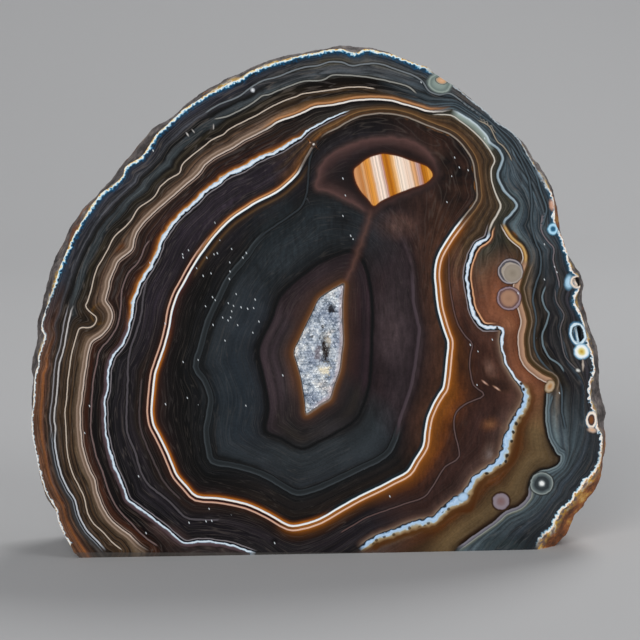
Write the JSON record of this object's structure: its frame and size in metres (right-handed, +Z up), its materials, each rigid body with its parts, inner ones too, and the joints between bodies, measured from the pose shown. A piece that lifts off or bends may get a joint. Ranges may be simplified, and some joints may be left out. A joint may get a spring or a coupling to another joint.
{
  "type": "agate slice",
  "caption": "Thick polished slice of banded agate with a crystal hollow and a rough rind, standing on a flat sawn base.",
  "frame": {"origin": "middle of the flat base, on the surface that the slice stands on", "axes": "+X along the polished face to the viewer's right, -Y out of the polished face, +Z up"},
  "size_m": [0.1165, 0.028, 0.1015],
  "materials": {
    "banded_agate": "polished",
    "quartz_crystal": "gloss"
  },
  "bodies": {
    "root": {"agate_slice": "banded_agate", "quartz_druse": "quartz_crystal"}
  },
  "joints": []
}
